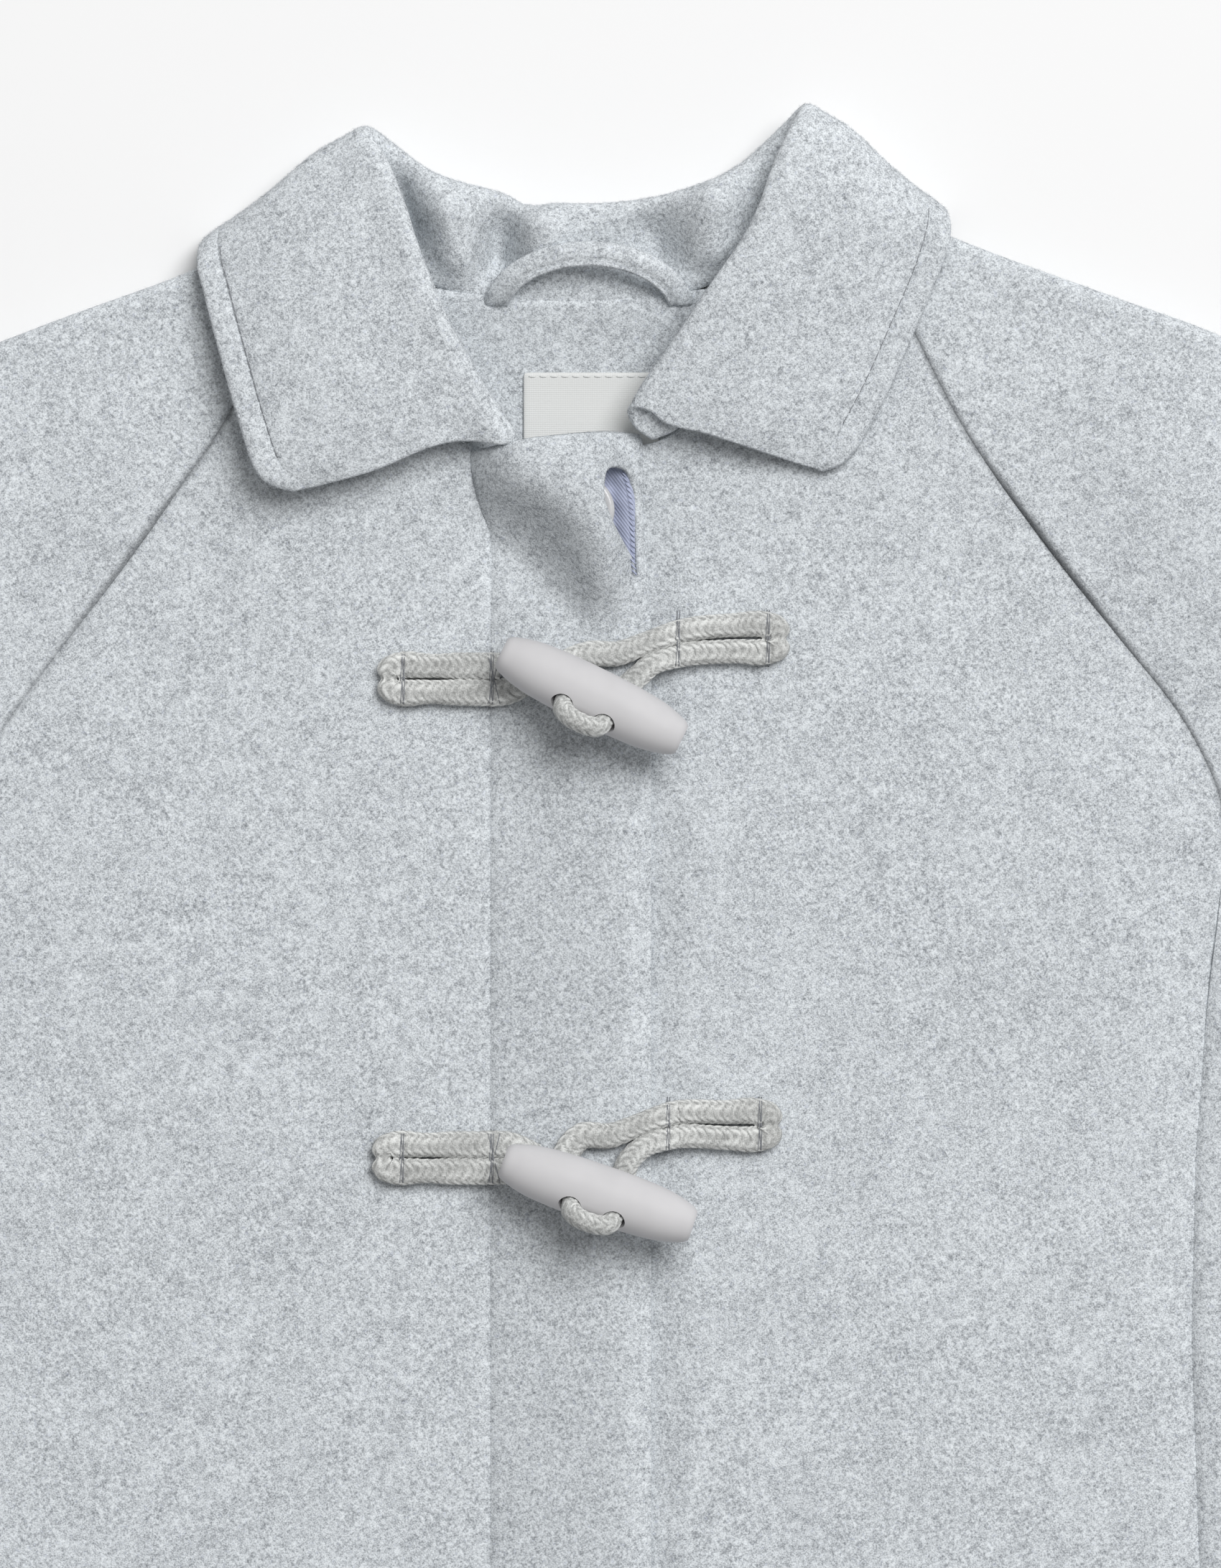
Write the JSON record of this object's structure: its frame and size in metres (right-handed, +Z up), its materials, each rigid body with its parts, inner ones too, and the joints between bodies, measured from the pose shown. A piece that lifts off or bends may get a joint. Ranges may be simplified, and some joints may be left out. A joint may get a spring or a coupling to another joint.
{
  "type": "short coat",
  "caption": "Short duffle coat in pale grey felted wool, laid flat and closed, with raglan sleeves, turned-down collar, fly band and toggles on braided cord loops.",
  "frame": {"origin": "centre of the bounding box, on the surface that the coat lies on", "axes": "+X to the right as seen from above with the collar away, +Y from hem to collar, +Z up from the surface, out of the coat's front"},
  "size_m": [0.5484, 0.4794, 0.0318],
  "materials": {
    "wool": "brushed felted wool",
    "lining_twill": "fine twill",
    "label_weave": "woven, bare",
    "braid": "braided cotton",
    "toggle_wood": "satin lacquer",
    "button_pearl": "pearly"
  },
  "bodies": {
    "root": {"back": "wool", "front_left": "wool", "front_band": "wool", "front_right": "wool", "sleeve_left": "wool", "sleeve_right": "wool", "collar": "wool", "back_neck_facing": "wool", "hanger_loop": "wool", "fly_lining": "lining_twill", "fly_button": "button_pearl", "label": "label_weave", "toggle_top": "toggle_wood", "toggle_cord_top": "braid", "tab_cord_top": "braid", "loop_cord_top": "braid", "toggle_middle": "toggle_wood", "toggle_cord_middle": "braid", "tab_cord_middle": "braid", "loop_cord_middle": "braid", "toggle_lower": "toggle_wood", "toggle_cord_lower": "braid", "tab_cord_lower": "braid", "loop_cord_lower": "braid"}
  },
  "joints": []
}
